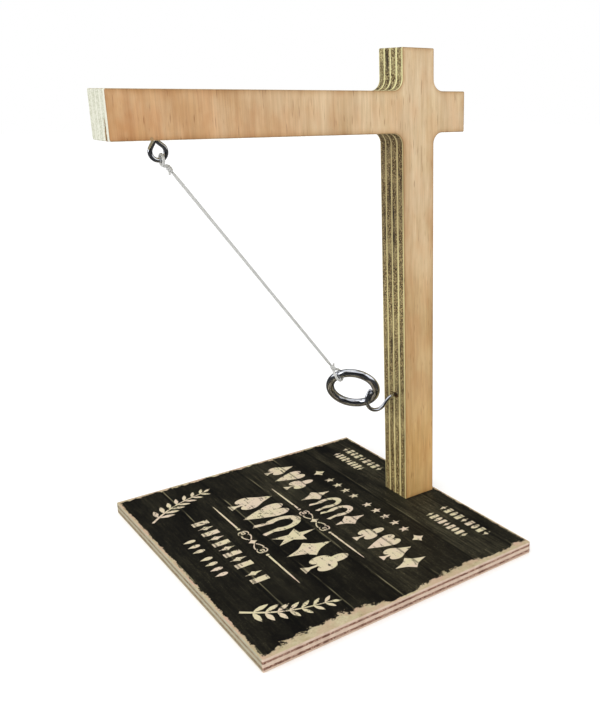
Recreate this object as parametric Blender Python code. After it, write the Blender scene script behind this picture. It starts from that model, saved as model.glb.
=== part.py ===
"""Hook and ring game: a plywood gallows on a printed base, a ring on a line from the arm, and a hook in the post.

Metres, +Z up. The origin is the centre of the base's underside. The arm points to -X, Y runs across it.
"""

import math

import bmesh
import bpy
from mathutils import Matrix, Vector

# base board
BASE_X = 0.190
BASE_Y = 0.218
BASE_THICK = 0.008
BASE_EDGE = 0.0006

# gallows: one piece of plywood, its heights measured from the base's top
PLY = 0.025
POST_WIDTH = 0.024
POST_X = 0.079
POST_HEIGHT = 0.300
ARM_BOTTOM = 0.250
ARM_LENGTH = 0.178
STUB = 0.025
FILLET = 0.007
CORNER = 0.0008
CORNER_STEPS = 5
EDGE = 0.0005

GAP = 0.0003
PAST_FACE = 0.002

# screw hook and screw eye
WIRE = 0.00125
HOOK_HEIGHT = 0.0753
HOOK_CENTRE = (0.05233, 0.07626)
HOOK_BEND = 0.0084
HOOK_TIP_DEG = 122.2
HOOK_TURN_DEG = 318
HOOK_DEPTH = 0.018
HOOK_REACH = 0.0042
EYE_X = -0.0825
EYE_BEND = 0.00425
EYE_DROP = 0.0063
EYE_DEPTH = 0.012
EYE_THROAT = 0.0004
EYE_FROM_DEG = 30
EYE_SWEEP_DEG = 240
EYE_PULLS = (0.0012, 0.0016)
EYE_END = 0.0025

# ring, hooked: its centre is measured from the base's top
RING_CENTRE = (0.0361, 0.00438, 0.08568)
RING_NORMAL = (-0.587, -0.630, -0.507)
RING_MAJOR = 0.0154
RING_MINOR = 0.00265
RING_TIE_DEG = 6

# line: the angle round the eye at which it is tied, and the sizes of its loops and knots
LINE = 0.00085
TIE_DEG = -68
LOOP_ROOM = 0.00045
KNOT_LENGTH = 0.0046
KNOT_WIDTH = 0.0032
POINT_SPACING = 0.004

# two wood screws from below
SCREW_SPACING = 0.012
SCREW_SHANK = 0.0015
SCREW_HEAD = 0.0032
SCREW_HEAD_DEPTH = 0.0019
SCREW_SUNK = 0.0002
SCREW_LENGTH = 0.030
SCREW_POINT = 0.003
SCREW_SIDES = 16
RECESS_LENGTH = 0.0030
RECESS_WIDTH = 0.0006
RECESS_DEPTH = 0.0012

POST_LEFT = POST_X - POST_WIDTH / 2
POST_RIGHT = POST_X + POST_WIDTH / 2
ARM_UNDER = BASE_THICK + ARM_BOTTOM
ARM_TOP = ARM_UNDER + PLY
POST_TOP = BASE_THICK + POST_HEIGHT
X_AXIS, Z_AXIS = Vector((1, 0, 0)), Vector((0, 0, 1))


def clear_scene():
    for obj in list(bpy.data.objects):
        bpy.data.objects.remove(obj, do_unlink=True)


def material(name, colour, roughness, metallic=0.0):
    mat = bpy.data.materials.new(name)
    mat.use_nodes = True
    shader = mat.node_tree.nodes["Principled BSDF"]
    shader.inputs["Base Color"].default_value = (*colour, 1)
    shader.inputs["Roughness"].default_value = roughness
    shader.inputs["Metallic"].default_value = metallic
    mat.diffuse_color = (*colour, 1)
    return mat


def link(obj, mat=None):
    bpy.context.scene.collection.objects.link(obj)
    if mat:
        obj.data.materials.append(mat)
    return obj


def mesh_object(name, bm, mat=None):
    bmesh.ops.recalc_face_normals(bm, faces=bm.faces)
    mesh = bpy.data.meshes.new(name)
    bm.to_mesh(mesh)
    bm.free()
    return link(bpy.data.objects.new(name, mesh), mat)


def as_cutter(obj):
    obj.hide_render = True
    obj.display_type = "WIRE"
    return obj


def cut(obj, cutter):
    mod = obj.modifiers.new(cutter.name, "BOOLEAN")
    mod.operation = "DIFFERENCE"
    mod.solver = "EXACT"
    mod.object = as_cutter(cutter)
    return mod


def ease(obj, width):
    mod = obj.modifiers.new("eased_edges", "BEVEL")
    mod.width = width
    mod.segments = 1
    mod.limit_method = "ANGLE"
    mod.angle_limit = math.radians(50)


def rounded(corners):
    """Points of a closed outline whose corners (x, z, radius) are rounded with arcs."""
    points = []
    for i, (x, z, radius) in enumerate(corners):
        here = Vector((x, z))
        back = (Vector(corners[i - 1][:2]) - here).normalized()
        ahead = (Vector(corners[(i + 1) % len(corners)][:2]) - here).normalized()
        if radius <= 0:
            points.append(here)
            continue
        # every corner is square, so the arc's centre is one radius along both sides
        centre = here + (back + ahead) * radius
        for k in range(CORNER_STEPS + 1):
            a = math.pi / 2 * k / CORNER_STEPS
            points.append(centre - ahead * radius * math.cos(a) - back * radius * math.sin(a))
    return points


def extruded(name, outline, y_from, y_to, mat):
    bm = bmesh.new()
    face = bm.faces.new([bm.verts.new((p.x, y_from, p.y)) for p in outline])
    grown = bmesh.ops.extrude_face_region(bm, geom=[face])["geom"]
    verts = [v for v in grown if isinstance(v, bmesh.types.BMVert)]
    bmesh.ops.translate(bm, vec=(0, y_to - y_from, 0), verts=verts)
    return mesh_object(name, bm, mat)


def turned(name, profile, location, mat=None, axis=Z_AXIS, sides=SCREW_SIDES):
    """A solid turned round an axis from (radius, height) points, whose first and last radius are 0."""
    bm = bmesh.new()
    rings = []
    for radius, height in profile:
        if radius == 0:
            rings.append([bm.verts.new((0, 0, height))])
            continue
        turns = [2 * math.pi * k / sides for k in range(sides)]
        rings.append([bm.verts.new((radius * math.cos(a), radius * math.sin(a), height)) for a in turns])
    for low, high in zip(rings, rings[1:]):
        for k in range(sides):
            n = (k + 1) % sides
            quad = [low[k % len(low)], low[n % len(low)], high[n % len(high)], high[k % len(high)]]
            bm.faces.new(list(dict.fromkeys(quad)))
    obj = mesh_object(name, bm, mat)
    obj.location = location
    obj.rotation_euler = Z_AXIS.rotation_difference(axis).to_euler()
    return obj


def rod_profile(radius, length, start=0.0):
    return [(0, start), (radius, start), (radius, length), (0, length)]


def tube(name, points, radius, mat, tapers=None, resolution=4):
    """A round wire or line along the points. tapers maps a point's number to its share of the radius."""
    curve = bpy.data.curves.new(name, "CURVE")
    curve.dimensions = "3D"
    curve.bevel_depth = radius
    curve.bevel_resolution = resolution
    curve.use_fill_caps = True
    spline = curve.splines.new("POLY")
    spline.points.add(len(points) - 1)
    for k, (point, at) in enumerate(zip(spline.points, points)):
        point.co = (*at, 1)
        point.radius = (tapers or {}).get(k, 1.0)
    spline.use_smooth = True
    return link(bpy.data.objects.new(name, curve), mat)


def torus(name, centre, axis, major, minor, mat, segments=48, sides=12):
    bpy.ops.mesh.primitive_torus_add(
        major_radius=major, minor_radius=minor, major_segments=segments, minor_segments=sides
    )
    obj = bpy.context.object
    obj.name = obj.data.name = name
    obj.data.materials.append(mat)
    obj.location = centre
    obj.rotation_euler = Z_AXIS.rotation_difference(axis).to_euler()
    obj.data.shade_smooth()
    return obj


def bead(name, centre, along, length, width, mat):
    bm = bmesh.new()
    bmesh.ops.create_uvsphere(bm, u_segments=12, v_segments=8, radius=0.5)
    bmesh.ops.scale(bm, vec=(width, width, length), verts=bm.verts)
    obj = mesh_object(name, bm, mat)
    obj.data.shade_smooth()
    obj.location = centre
    obj.rotation_euler = Z_AXIS.rotation_difference(along).to_euler()
    return obj


def on_circle(centre_x, centre_z, radius, degrees):
    a = math.radians(degrees)
    return Vector((centre_x + radius * math.cos(a), 0, centre_z + radius * math.sin(a)))


def bend(a, towards_a, b, towards_b, steps):
    """Points between a and b on a cubic curve with the two given handles."""
    found = []
    for k in range(1, steps):
        s = k / steps
        found.append(
            a * (1 - s) ** 3 + towards_a * 3 * s * (1 - s) ** 2 + towards_b * 3 * s * s * (1 - s) + b * s**3
        )
    return found


def base_board(mat):
    bm = bmesh.new()
    bmesh.ops.create_cube(bm, size=1.0)
    bmesh.ops.scale(bm, vec=(BASE_X, BASE_Y, BASE_THICK), verts=bm.verts)
    bmesh.ops.translate(bm, vec=(0, 0, BASE_THICK / 2), verts=bm.verts)
    board = mesh_object("base_board", bm, mat)
    ease(board, BASE_EDGE)
    for k, y in enumerate(screw_rows(), 1):
        head, shank, deep = SCREW_HEAD + GAP, SCREW_SHANK + GAP, SCREW_HEAD_DEPTH + SCREW_SUNK
        below, above = -PAST_FACE, BASE_THICK + PAST_FACE
        profile = [(0, below), (head, below), (head, SCREW_SUNK), (shank, deep), (shank, above), (0, above)]
        cut(board, turned(f"base_hole_{k}", profile, (POST_X, y, 0)))
    return board


def screw_rows():
    return (-SCREW_SPACING / 2, SCREW_SPACING / 2)


def gallows(mat):
    tip = POST_LEFT - ARM_LENGTH
    end = POST_RIGHT + STUB
    foot = BASE_THICK + GAP
    outline = rounded(
        [
            (POST_LEFT, foot, 0),
            (POST_RIGHT, foot, 0),
            (POST_RIGHT, ARM_UNDER, FILLET),
            (end, ARM_UNDER, CORNER),
            (end, ARM_TOP, CORNER),
            (POST_RIGHT, ARM_TOP, FILLET),
            (POST_RIGHT, POST_TOP, CORNER),
            (POST_LEFT, POST_TOP, CORNER),
            (POST_LEFT, ARM_TOP, FILLET),
            (tip, ARM_TOP, CORNER),
            (tip, ARM_UNDER, CORNER),
            (POST_LEFT, ARM_UNDER, FILLET),
        ]
    )
    board = extruded("gallows", outline, -PLY / 2, PLY / 2, mat)
    ease(board, EDGE)
    bore = WIRE + GAP
    start = -PAST_FACE
    hook_at = (POST_LEFT, 0, BASE_THICK + HOOK_HEIGHT)
    cut(board, turned("hook_pilot", rod_profile(bore, HOOK_DEPTH + GAP, start), hook_at, axis=X_AXIS))
    cut(board, turned("eye_pilot", rod_profile(bore, EYE_DEPTH + GAP, start), (EYE_X, 0, ARM_UNDER)))
    for k, y in enumerate(screw_rows(), 1):
        profile = rod_profile(SCREW_SHANK + GAP, SCREW_SUNK + SCREW_LENGTH + GAP, foot + start)
        cut(board, turned(f"screw_pilot_{k}", profile, (POST_X, y, 0)))
    return board


def base_screw(number, y, mat):
    top = SCREW_SUNK + SCREW_LENGTH
    profile = [
        (0, SCREW_SUNK),
        (SCREW_HEAD, SCREW_SUNK),
        (SCREW_SHANK, SCREW_SUNK + SCREW_HEAD_DEPTH),
        (SCREW_SHANK, top - SCREW_POINT),
        (0, top),
    ]
    screw = turned(f"base_screw_{number}", profile, (POST_X, y, 0), mat)
    bm = bmesh.new()
    for x_size, y_size in ((RECESS_LENGTH, RECESS_WIDTH), (RECESS_WIDTH, RECESS_LENGTH)):
        made = bmesh.ops.create_cube(bm, size=1.0)["verts"]
        bmesh.ops.scale(bm, vec=(x_size, y_size, RECESS_DEPTH * 2), verts=made)
    recess = mesh_object(f"screw_recess_{number}", bm)
    recess.location = (POST_X, y, SCREW_SUNK)
    cut(screw, recess).use_self = True
    return screw


def screw_hook(mat):
    """Level out of the wood, down in an S, round the bottom and up to a tip that leans back over the gap."""
    cx, cz = HOOK_CENTRE[0], BASE_THICK + HOOK_CENTRE[1]
    level = BASE_THICK + HOOK_HEIGHT
    face = Vector((POST_LEFT, 0, level))
    inside = [Vector((POST_LEFT + HOOK_DEPTH * s, 0, level)) for s in (1.0, 0.85, 0.45)]
    turn = on_circle(cx, cz, HOOK_BEND, HOOK_TURN_DEG)
    a = math.radians(HOOK_TURN_DEG)
    onward = Vector((-math.sin(a), 0, math.cos(a)))
    neck = bend(face, face - X_AXIS * HOOK_REACH, turn, turn + onward * HOOK_REACH, 8)
    count = 22
    step = (HOOK_TURN_DEG - HOOK_TIP_DEG) / count
    round_bend = [on_circle(cx, cz, HOOK_BEND, HOOK_TURN_DEG - step * k) for k in range(count + 1)]
    points = inside + [face] + neck + round_bend
    return tube("screw_hook", points, WIRE, mat, {0: 0.3, len(points) - 1: 0.75})


def screw_eye(mat):
    """Down out of the arm, round a drop-shaped eye, and back to just short of its own shank."""
    cz = ARM_UNDER - EYE_DROP
    inside = [Vector((EYE_X, 0, ARM_UNDER + EYE_DEPTH * s)) for s in (1.0, 0.8, 0.4)]
    throat = Vector((EYE_X, 0, ARM_UNDER - EYE_THROAT))
    side = on_circle(EYE_X, cz, EYE_BEND, EYE_FROM_DEG)
    a = math.radians(EYE_FROM_DEG)
    up_side = Vector((-math.sin(a), 0, math.cos(a)))
    throat_pull, side_pull = EYE_PULLS
    limb = bend(throat, throat - Z_AXIS * throat_pull, side, side + up_side * side_pull, 6)
    count = 20
    step = EYE_SWEEP_DEG / count
    round_eye = [on_circle(EYE_X, cz, EYE_BEND, EYE_FROM_DEG - step * k) for k in range(count + 1)]
    closing = Vector((math.sin(a), 0, math.cos(a)))
    end = [round_eye[-1] + closing * EYE_END * s for s in (0.5, 1.0)]
    points = inside + [throat] + limb + round_eye + end
    return tube("screw_eye", points, WIRE, mat, {0: 0.3, len(points) - 1: 0.8})


def tie_points():
    """Where the line is tied: on the eye's wire, and on the ring's rim."""
    top = on_circle(EYE_X, ARM_UNDER - EYE_DROP, EYE_BEND, TIE_DEG)
    normal = Vector(RING_NORMAL).normalized()
    centre = Vector(RING_CENTRE) + Z_AXIS * BASE_THICK
    out = top - centre
    out = (out - normal * out.dot(normal)).normalized()
    out.rotate(Matrix.Rotation(math.radians(RING_TIE_DEG), 3, normal))
    return top, centre + out * RING_MAJOR, centre, normal


def ring_and_line(steel, thread):
    top, low, centre, normal = tie_points()
    along = (low - top).normalized()
    rim = normal.cross(low - centre).normalized()
    top_reach = WIRE + LOOP_ROOM + 2 * LINE
    low_reach = RING_MINOR + GAP + 2 * LINE

    line_pivot = link(bpy.data.objects.new("line_pivot", None))
    line_pivot.location = top
    ring_pivot = link(bpy.data.objects.new("ring_pivot", None))
    ring_pivot.location = low

    pieces = [torus("line_top_loop", top, X_AXIS, top_reach - LINE, LINE, thread, 24, 8)]
    upper = top + along * (top_reach + GAP + KNOT_LENGTH / 2)
    lower = low - along * (low_reach + GAP + KNOT_LENGTH / 2)
    pieces.append(bead("line_top_knot", upper, along, KNOT_LENGTH, KNOT_WIDTH, thread))
    pieces.append(bead("line_ring_knot", lower, along, KNOT_LENGTH, KNOT_WIDTH, thread))
    pieces.append(torus("line_ring_loop", low, rim, low_reach - LINE, LINE, thread, 24, 8))
    clear = KNOT_LENGTH / 2 + GAP
    start, end = upper + along * clear, lower - along * clear
    count = round((end - start).length / POINT_SPACING)
    straight = [start.lerp(end, k / count) for k in range(count + 1)]
    pieces.append(tube("line", straight, LINE, thread, resolution=2))
    for piece in pieces:
        hang(piece, line_pivot)
    hang(torus("ring", centre, normal, RING_MAJOR, RING_MINOR, steel), ring_pivot)


def hang(obj, pivot):
    """Parent a piece to its pivot and leave it where it is."""
    obj.parent = pivot
    obj.location = obj.location - pivot.location


def build():
    clear_scene()
    face = material("plywood", (0.60, 0.38, 0.21), 0.6)
    printed = material("printed_plywood", (0.03, 0.03, 0.032), 0.55)
    nickel = material("nickel", (0.62, 0.61, 0.59), 0.18, 1.0)
    zinc = material("zinc", (0.55, 0.54, 0.50), 0.35, 1.0)
    thread = material("line", (0.80, 0.80, 0.77), 0.5)
    base_board(printed)
    gallows(face)
    for k, y in enumerate(screw_rows(), 1):
        base_screw(k, y, zinc)
    screw_hook(nickel)
    screw_eye(nickel)
    ring_and_line(nickel, thread)


build()
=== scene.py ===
"""Looks of the hook and ring game: plywood gallows, printed base, screw hook and eye, ring and line.

Metres, +Z up, in the frame of the CAD model. Grain, plies, print and plating are node groups made once.
"""

from math import atan2, ceil, cos, exp, pi, radians, sin, sqrt

import bmesh
import bpy
from mathutils import Matrix, Vector, noise


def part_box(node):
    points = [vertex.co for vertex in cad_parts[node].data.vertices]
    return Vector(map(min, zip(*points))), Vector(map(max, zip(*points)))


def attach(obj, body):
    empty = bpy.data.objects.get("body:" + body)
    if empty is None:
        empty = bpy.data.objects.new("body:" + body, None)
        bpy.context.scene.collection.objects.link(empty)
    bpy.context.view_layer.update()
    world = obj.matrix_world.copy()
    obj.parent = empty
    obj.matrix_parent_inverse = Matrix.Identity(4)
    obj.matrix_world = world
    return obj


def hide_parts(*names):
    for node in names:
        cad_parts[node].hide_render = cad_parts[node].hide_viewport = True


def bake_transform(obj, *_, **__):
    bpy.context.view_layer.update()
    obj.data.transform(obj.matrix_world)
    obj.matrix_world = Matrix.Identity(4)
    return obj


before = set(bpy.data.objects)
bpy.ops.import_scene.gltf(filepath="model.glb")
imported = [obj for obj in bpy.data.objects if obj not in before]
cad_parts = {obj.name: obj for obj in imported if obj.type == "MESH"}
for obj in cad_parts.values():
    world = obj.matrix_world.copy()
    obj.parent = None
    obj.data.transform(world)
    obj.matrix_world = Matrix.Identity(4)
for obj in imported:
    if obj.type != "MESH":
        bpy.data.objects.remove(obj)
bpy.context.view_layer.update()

X_AXIS = Vector((1, 0, 0))
Z_AXIS = Vector((0, 0, 1))
MM = 0.001

# base board
BASE_LO, BASE_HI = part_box("base_board")
BASE_TOP = BASE_HI.z
BASE_ROUND = 0.5 * MM

# gallows
PLY_LO, PLY_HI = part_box("gallows")
ARM_TIP = PLY_LO.x
STUB_END = PLY_HI.x
POST_LEFT = 0.067
POST_RIGHT = 0.091
ARM_UNDER = 0.258
ARM_TOP = 0.283
FOOT = PLY_LO.z
POST_TOP = PLY_HI.z
PLY_HALF = PLY_HI.y
FILLET = 7 * MM
CORNER = 0.8 * MM
GALLOWS_ROUND = 0.45 * MM
GALLOWS_GLUE = (0.055, 0.235, 0.3, 0.495, 0.545, 0.738, 0.785, 0.97)
BASE_GLUE = (0.16, 0.36, 0.62, 0.8)
BASE_CORNER = 0.9 * MM
OUTLINE_STEP = 1.6 * MM

# wire goods
WIRE = 1.25 * MM
HOOK_CENTRE = (0.05233, 0.08426)
HOOK_LEVEL = 0.0833
HOOK_BEND = 8.4 * MM
HOOK_FROM = 318
HOOK_TIP = 122.2
HOOK_DEPTH = 18 * MM
HOOK_THREAD = 18.6 * MM
HOOK_REACH = 4.2 * MM
EYE_X = -0.0825
EYE_Z = 0.2517
EYE_BEND = 4.25 * MM
EYE_FROM = 30
EYE_DEPTH = 12 * MM
EYE_THREAD = 11.8 * MM
EYE_THROAT = 0.4 * MM
EYE_PULLS = (1.2 * MM, 1.6 * MM)
ARC_STEPS = 80
WIRE_SPACING = 0.16 * MM
EYE_CLOSES = Vector((-0.0841, 0, 0.2573))

# ring and line
RING_CENTRE = Vector((0.0361, 0.00438, 0.09368))
RING_NORMAL = Vector((-0.587, -0.63, -0.507)).normalized()
RING_MAJOR = 15.4 * MM
RING_MINOR = 2.65 * MM
RING_TIE_DEG = 6
LINE = 0.85 * MM
TIE_DEG = -68
TOP_LOOP = 2.55 * MM
RING_LOOP = 3.8 * MM
KNOT_LENGTH = 4.6 * MM
KNOT_RADIUS = 1.6 * MM
KNOT_ROOM = 0.3 * MM


# ---- node helpers


class Nodes:
    """Short ways to add and join the nodes of one tree."""

    def __init__(self, tree):
        self.tree = tree

    def add(self, kind, **values):
        node = self.tree.nodes.new("ShaderNode" + kind)
        for key, value in values.items():
            setattr(node, key, value)
        return node

    def put(self, socket, value):
        if isinstance(value, bpy.types.NodeSocket):
            self.tree.links.new(value, socket)
        elif value is not None:
            socket.default_value = value

    def math(self, operation, a, b=0, c=0, clamp=False):
        node = self.add("Math", operation=operation, use_clamp=clamp)
        for socket, value in zip(node.inputs, (a, b, c)):
            self.put(socket, value)
        return node.outputs[0]

    def plus(self, a, b):
        return self.math("ADD", a, b)

    def minus(self, a, b):
        return self.math("SUBTRACT", a, b)

    def times(self, a, b):
        return self.math("MULTIPLY", a, b)

    def over(self, a, b):
        return self.math("DIVIDE", a, b)

    def least(self, a, b):
        return self.math("MINIMUM", a, b)

    def most(self, a, b):
        return self.math("MAXIMUM", a, b)

    def scaled(self, a, factor, offset, clamp=False):
        return self.math("MULTIPLY_ADD", a, factor, offset, clamp)

    def mix(self, factor, a, b, blend="MIX"):
        node = self.add("Mix", data_type="RGBA", blend_type=blend)
        self.put(node.inputs[0], factor)
        self.put(node.inputs[6], a)
        self.put(node.inputs[7], b)
        return node.outputs[2]

    def ramp(self, factor, stops):
        node = self.add("ValToRGB")
        elements = node.color_ramp.elements
        while len(elements) < len(stops):
            elements.new(1)
        for element, (at, colour) in zip(elements, stops):
            element.position = at
            element.color = grey(colour) if isinstance(colour, (int, float)) else colour
        self.put(node.inputs[0], factor)
        return node.outputs[0]

    def stretch(self, vector, scale):
        node = self.add("VectorMath", operation="MULTIPLY")
        self.put(node.inputs[0], vector)
        node.inputs[1].default_value = scale
        return node.outputs[0]

    def noise(self, vector, scale, detail=2, rough=0.5, distortion=0):
        node = self.add("TexNoise")
        self.put(node.inputs["Vector"], vector)
        node.inputs["Scale"].default_value = scale
        node.inputs["Detail"].default_value = detail
        node.inputs["Roughness"].default_value = rough
        node.inputs["Distortion"].default_value = distortion
        return node.outputs["Fac"]

    def split(self, vector):
        node = self.add("SeparateXYZ")
        self.put(node.inputs[0], vector)
        return node.outputs

    def place(self):
        return self.add("TexCoord").outputs["Object"]

    def group(self, tree, **values):
        node = self.add("Group")
        node.node_tree = tree
        for key, value in values.items():
            self.put(node.inputs[key.replace("_", " ")], value)
        return node.outputs


def rise(start, end):
    """Ramp stops from 0 to 1."""
    return [(start, 0), (end, 1)]


def grey(value):
    return (value, value, value, 1)


def rgb(red, green, blue):
    """A colour given in display values, 0 to 255, as the linear one that nodes use."""
    linear = []
    for value in (red, green, blue):
        share = value / 255
        linear.append(share / 12.92 if share <= 0.04045 else ((share + 0.055) / 1.055) ** 2.4)
    return (*linear, 1)


def new_group(name, inputs, outputs):
    """A node group that takes a place and the named inputs, and gives a colour and then values."""
    tree = bpy.data.node_groups.new(name, "ShaderNodeTree")

    def socket(key, side, kind):
        return tree.interface.new_socket(key, in_out=side, socket_type="NodeSocket" + kind)

    socket("Place", "INPUT", "Vector")
    for key, value in inputs.items():
        socket(key, "INPUT", "Color" if isinstance(value, tuple) else "Float").default_value = value
    for k, key in enumerate(outputs):
        socket(key, "OUTPUT", "Float" if k else "Color")
    source = tree.nodes.new("NodeGroupInput").outputs
    sink = tree.nodes.new("NodeGroupOutput").inputs
    return Nodes(tree), source["Place"], source, sink


class Surface(Nodes):
    """The nodes of a new material, round its one principled shader."""

    def __init__(self, name, roughness=0.5, **values):
        self.material = bpy.data.materials.new(name)
        self.material.use_nodes = True
        super().__init__(self.material.node_tree)
        self.shader = self.tree.nodes["Principled BSDF"].inputs
        self.set(Roughness=roughness, **values)

    def set(self, **values):
        for key, value in values.items():
            self.put(self.shader[key.replace("_", " ")], value)

    def done(self, colour, height, distance, strength, roughness=None):
        """Feeds the shader its colour, bumps and roughness, and gives the material."""
        bump = self.add("Bump")
        bump.inputs["Strength"].default_value = strength
        bump.inputs["Distance"].default_value = distance
        self.put(bump.inputs["Height"], height)
        self.set(Base_Color=colour, Normal=bump.outputs[0], Roughness=roughness)
        return self.material


# ---- shared effects


def veneer_group():
    """Long grain along the vector's Z: broad figure, fibres and short dark pores."""
    n, place, source, sink = new_group(
        "veneer_grain",
        {
            "Light": rgb(214, 178, 134), "Dark": rgb(186, 142, 98), "Pore": rgb(150, 104, 66),
            "Pore amount": 0.5,
        },
        ("Color", "Height", "Roughness"),
    )
    broad = n.noise(n.stretch(place, (1, 1, 0.16)), 75, 3, 0.55, 0.4)
    fibre = n.noise(n.stretch(place, (1, 1, 0.035)), 1500, 2, 0.6)
    streak = n.noise(n.stretch(place, (1, 1, 0.07)), 420, 2, 0.6)
    pores = n.noise(n.stretch(place, (1, 1, 0.09)), 1100, 1, 0.5)
    figure = n.scaled(streak, 0.45, n.times(broad, 0.7))
    figure = n.ramp(figure, rise(0.38, 0.74))
    colour = n.mix(figure, source["Dark"], source["Light"])
    thread = n.ramp(fibre, [(0.3, 0.9), (0.7, 1.04)])
    colour = n.mix(1, colour, thread, "MULTIPLY")
    pore = n.ramp(pores, rise(0.66, 0.76))
    pore = n.times(pore, source["Pore amount"])
    n.put(sink["Color"], n.mix(pore, colour, source["Pore"]))
    n.put(sink["Height"], n.scaled(pore, -0.8, n.times(fibre, 0.5)))
    n.put(sink["Roughness"], n.scaled(fibre, 0.18, 0.42))
    return n.tree


def ply_group():
    """Sawn plywood edge: smooth long plies, and where the mask is 1 open, speckled cross plies."""
    n, place, source, sink = new_group(
        "ply_edge",
        {
            "Cross mask": 0, "Long ply": rgb(214, 200, 150), "Cross ply": rgb(142, 122, 74),
            "Void": rgb(70, 46, 16), "Void amount": 0.5,
        },
        ("Color", "Height"),
    )
    speck = n.noise(place, 1250, 2, 0.6)
    cloud = n.noise(place, 110, 3, 0.6)
    run = n.noise(n.stretch(place, (1, 1, 0.12)), 260, 3, 0.6)
    open_pore = n.mix(0.85, source["Cross ply"], source["Void"])
    bright = n.mix(0.6, source["Cross ply"], source["Long ply"])
    cross = n.ramp(speck, rise(0.46, 0.52))
    cross = n.mix(cross, open_pore, source["Cross ply"])
    cross = n.mix(n.ramp(speck, rise(0.55, 0.61)), cross, bright)
    cross = n.mix(n.times(n.ramp(cloud, rise(0.45, 0.7)), 0.4), cross, bright)
    hollow = n.times(n.ramp(run, rise(0.55, 0.68)), source["Void amount"])
    cross = n.mix(hollow, cross, source["Void"])
    long_ply = n.mix(n.ramp(run, [(0.4, 0), (0.75, 0.35)]), source["Long ply"], source["Cross ply"])
    n.put(sink["Color"], n.mix(source["Cross mask"], long_ply, cross))
    n.put(sink["Height"], n.times(source["Cross mask"], n.minus(speck, n.times(hollow, 0.8))))
    return n.tree


def print_group():
    """Worn dark print of boards running along Y: its ink colour, and where it is rubbed off."""
    n, place, source, sink = new_group("worn_print", {"Wear": 0.5}, ("Ink", "Rubbed", "Height"))
    x = n.split(place)[0]
    along = n.stretch(place, (1, 0.05, 1))
    boards = n.math("FRACT", n.scaled(x, 34, 0.22))
    joint = n.ramp(boards, [(0, 1), (0.035, 0), (0.965, 0), (1, 1)])
    each = n.add("TexWhiteNoise", noise_dimensions="1D")
    n.put(each.inputs["W"], n.math("FLOOR", n.scaled(x, 34, 0.22)))
    scratch = n.ramp(n.noise(along, 1500, 2, 0.6), rise(0.58, 0.74))
    dust = n.ramp(n.noise(place, 1700, 2, 0.6), rise(0.6, 0.68))
    smoke = n.ramp(n.noise(n.stretch(place, (1, 0.35, 1)), 42, 4, 0.6), rise(0.35, 0.72))
    tone = n.times(smoke, n.scaled(each.outputs["Value"], 0.7, 0.3))
    tone = n.times(tone, n.ramp(n.noise(along, 800, 3, 0.65), [(0.36, 0.25), (0.64, 1.5)]))
    ink = n.mix(tone, rgb(5, 4, 3), rgb(58, 55, 41))
    ink = n.mix(n.times(scratch, n.scaled(tone, 0.5, 0.12)), ink, rgb(104, 98, 72))
    ink = n.mix(n.times(dust, n.scaled(tone, 0.5, 0.06)), ink, rgb(150, 142, 108))
    ink = n.mix(joint, ink, rgb(3, 3, 2))
    lip = n.ramp(boards, [(0.045, 0), (0.055, 1), (0.065, 1), (0.08, 0)])
    lip = n.times(lip, n.ramp(n.noise(along, 420, 2, 0.6), rise(0.5, 0.62)))
    ink = n.mix(n.times(lip, 0.5), ink, rgb(168, 160, 124))
    n.put(sink["Ink"], ink)
    blotch = n.noise(place, 260, 5, 0.72)
    fine = n.noise(along, 700, 3, 0.7)
    grit = n.noise(place, 1900, 2, 0.6)
    mixed = n.scaled(fine, 0.35, n.scaled(grit, 0.25, n.times(blotch, 0.55)))
    edge = n.plus(n.minus(mixed, 0.7), n.times(source["Wear"], 0.24))
    rubbed = n.ramp(edge, rise(0, 0.03))
    n.put(sink["Rubbed"], n.most(rubbed, n.times(joint, 0.8)))
    n.put(sink["Height"], n.minus(n.times(scratch, 0.4), joint))
    return n.tree


def metal_group():
    """Plated wire: fine draw marks, faint clouding and small dull spots."""
    n, place, source, sink = new_group(
        "plated_metal", {"Bright": grey(0.6), "Dull": grey(0.4), "Polish": 0.1},
        ("Color", "Roughness", "Height"),
    )
    cloud = n.noise(place, 240, 3, 0.6)
    n.put(sink["Color"], n.mix(n.ramp(cloud, rise(0.35, 0.7)), source["Bright"], source["Dull"]))
    n.put(sink["Roughness"], n.scaled(cloud, 0.12, source["Polish"]))
    n.put(sink["Height"], n.noise(n.stretch(place, (1, 1, 6)), 900, 2, 0.5))
    return n.tree


GRAIN = veneer_group()
PLIES = ply_group()
PRINT = print_group()
PLATED = metal_group()


# ---- materials


def gallows_depth(n, x, z):
    """How far a point of the gallows' face is from its outline, fillets included, in metres."""
    out_x = n.most(n.minus(POST_LEFT, x), n.minus(x, POST_RIGHT))
    out_z = n.most(n.minus(ARM_UNDER, z), n.minus(z, ARM_TOP))
    room_x = n.most(n.minus(FILLET, out_x), 0)
    room_z = n.most(n.minus(FILLET, out_z), 0)
    squares = n.scaled(room_x, room_x, n.times(room_z, room_z))
    depth = n.minus(n.math("SQRT", squares), FILLET)
    ends_x = n.least(n.minus(x, ARM_TIP), n.minus(STUB_END, x))
    ends_z = n.least(n.minus(z, FOOT), n.minus(POST_TOP, z))
    return n.least(depth, n.least(ends_x, ends_z))


def face_veneer(name, light, dark, pore, pores, turn=None):
    """Veneer with its grain along Z, or turned to run along another axis."""
    n = Surface(name, 0.55, Specular_IOR_Level=0.3)
    place = n.place()
    if turn:
        node = n.add("VectorRotate", rotation_type="EULER_XYZ")
        n.put(node.inputs["Vector"], place)
        node.inputs["Rotation"].default_value = turn
        place = node.outputs[0]
    out = n.group(GRAIN, Place=place, Light=light, Dark=dark, Pore=pore, Pore_amount=pores)
    n.done(out["Color"], out["Height"], 0.00012, 0.6, out["Roughness"])
    return n, out["Color"]


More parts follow.
